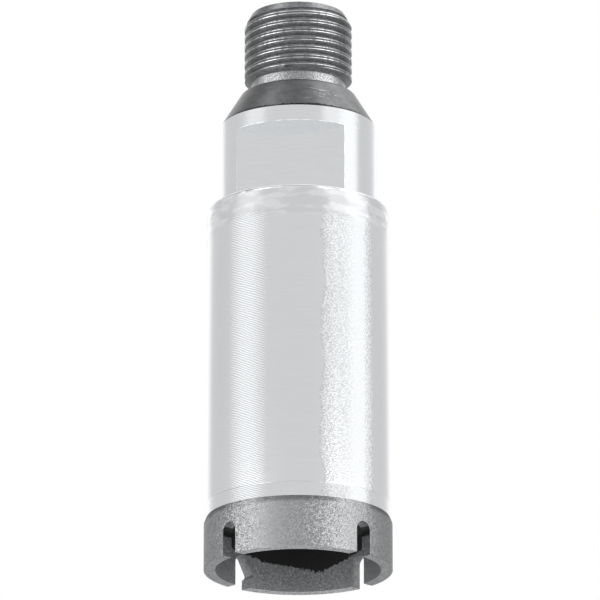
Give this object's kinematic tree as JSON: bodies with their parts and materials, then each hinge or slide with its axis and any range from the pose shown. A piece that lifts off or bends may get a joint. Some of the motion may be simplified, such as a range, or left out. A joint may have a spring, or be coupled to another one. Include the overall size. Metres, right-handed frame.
{
  "type": "diamond core drill bit",
  "caption": "Wet diamond core bit: slotted sintered crown on a turned steel barrel, closed by a one-piece adapter with wrench flats, a cone and a G 1/2 threaded stud.",
  "frame": {"origin": "middle of the crown's cutting face, which the bit stands on", "axes": "+Z along the bit's axis, from the crown to the threaded stud; the wrench flats face -Y and +Y"},
  "size_m": [0.036, 0.036, 0.1118],
  "materials": {
    "sintered_crown": "grey sintered metal with fine diamond grit, rough",
    "turned_steel": "bright silver with fine turning marks round the barrel",
    "shank_steel": "satin silver shank; dark grey bare steel on the cone and the stud"
  },
  "bodies": {
    "root": {"diamond_crown": "sintered_crown", "core_barrel": "turned_steel", "threaded_shank": "shank_steel"}
  },
  "joints": []
}
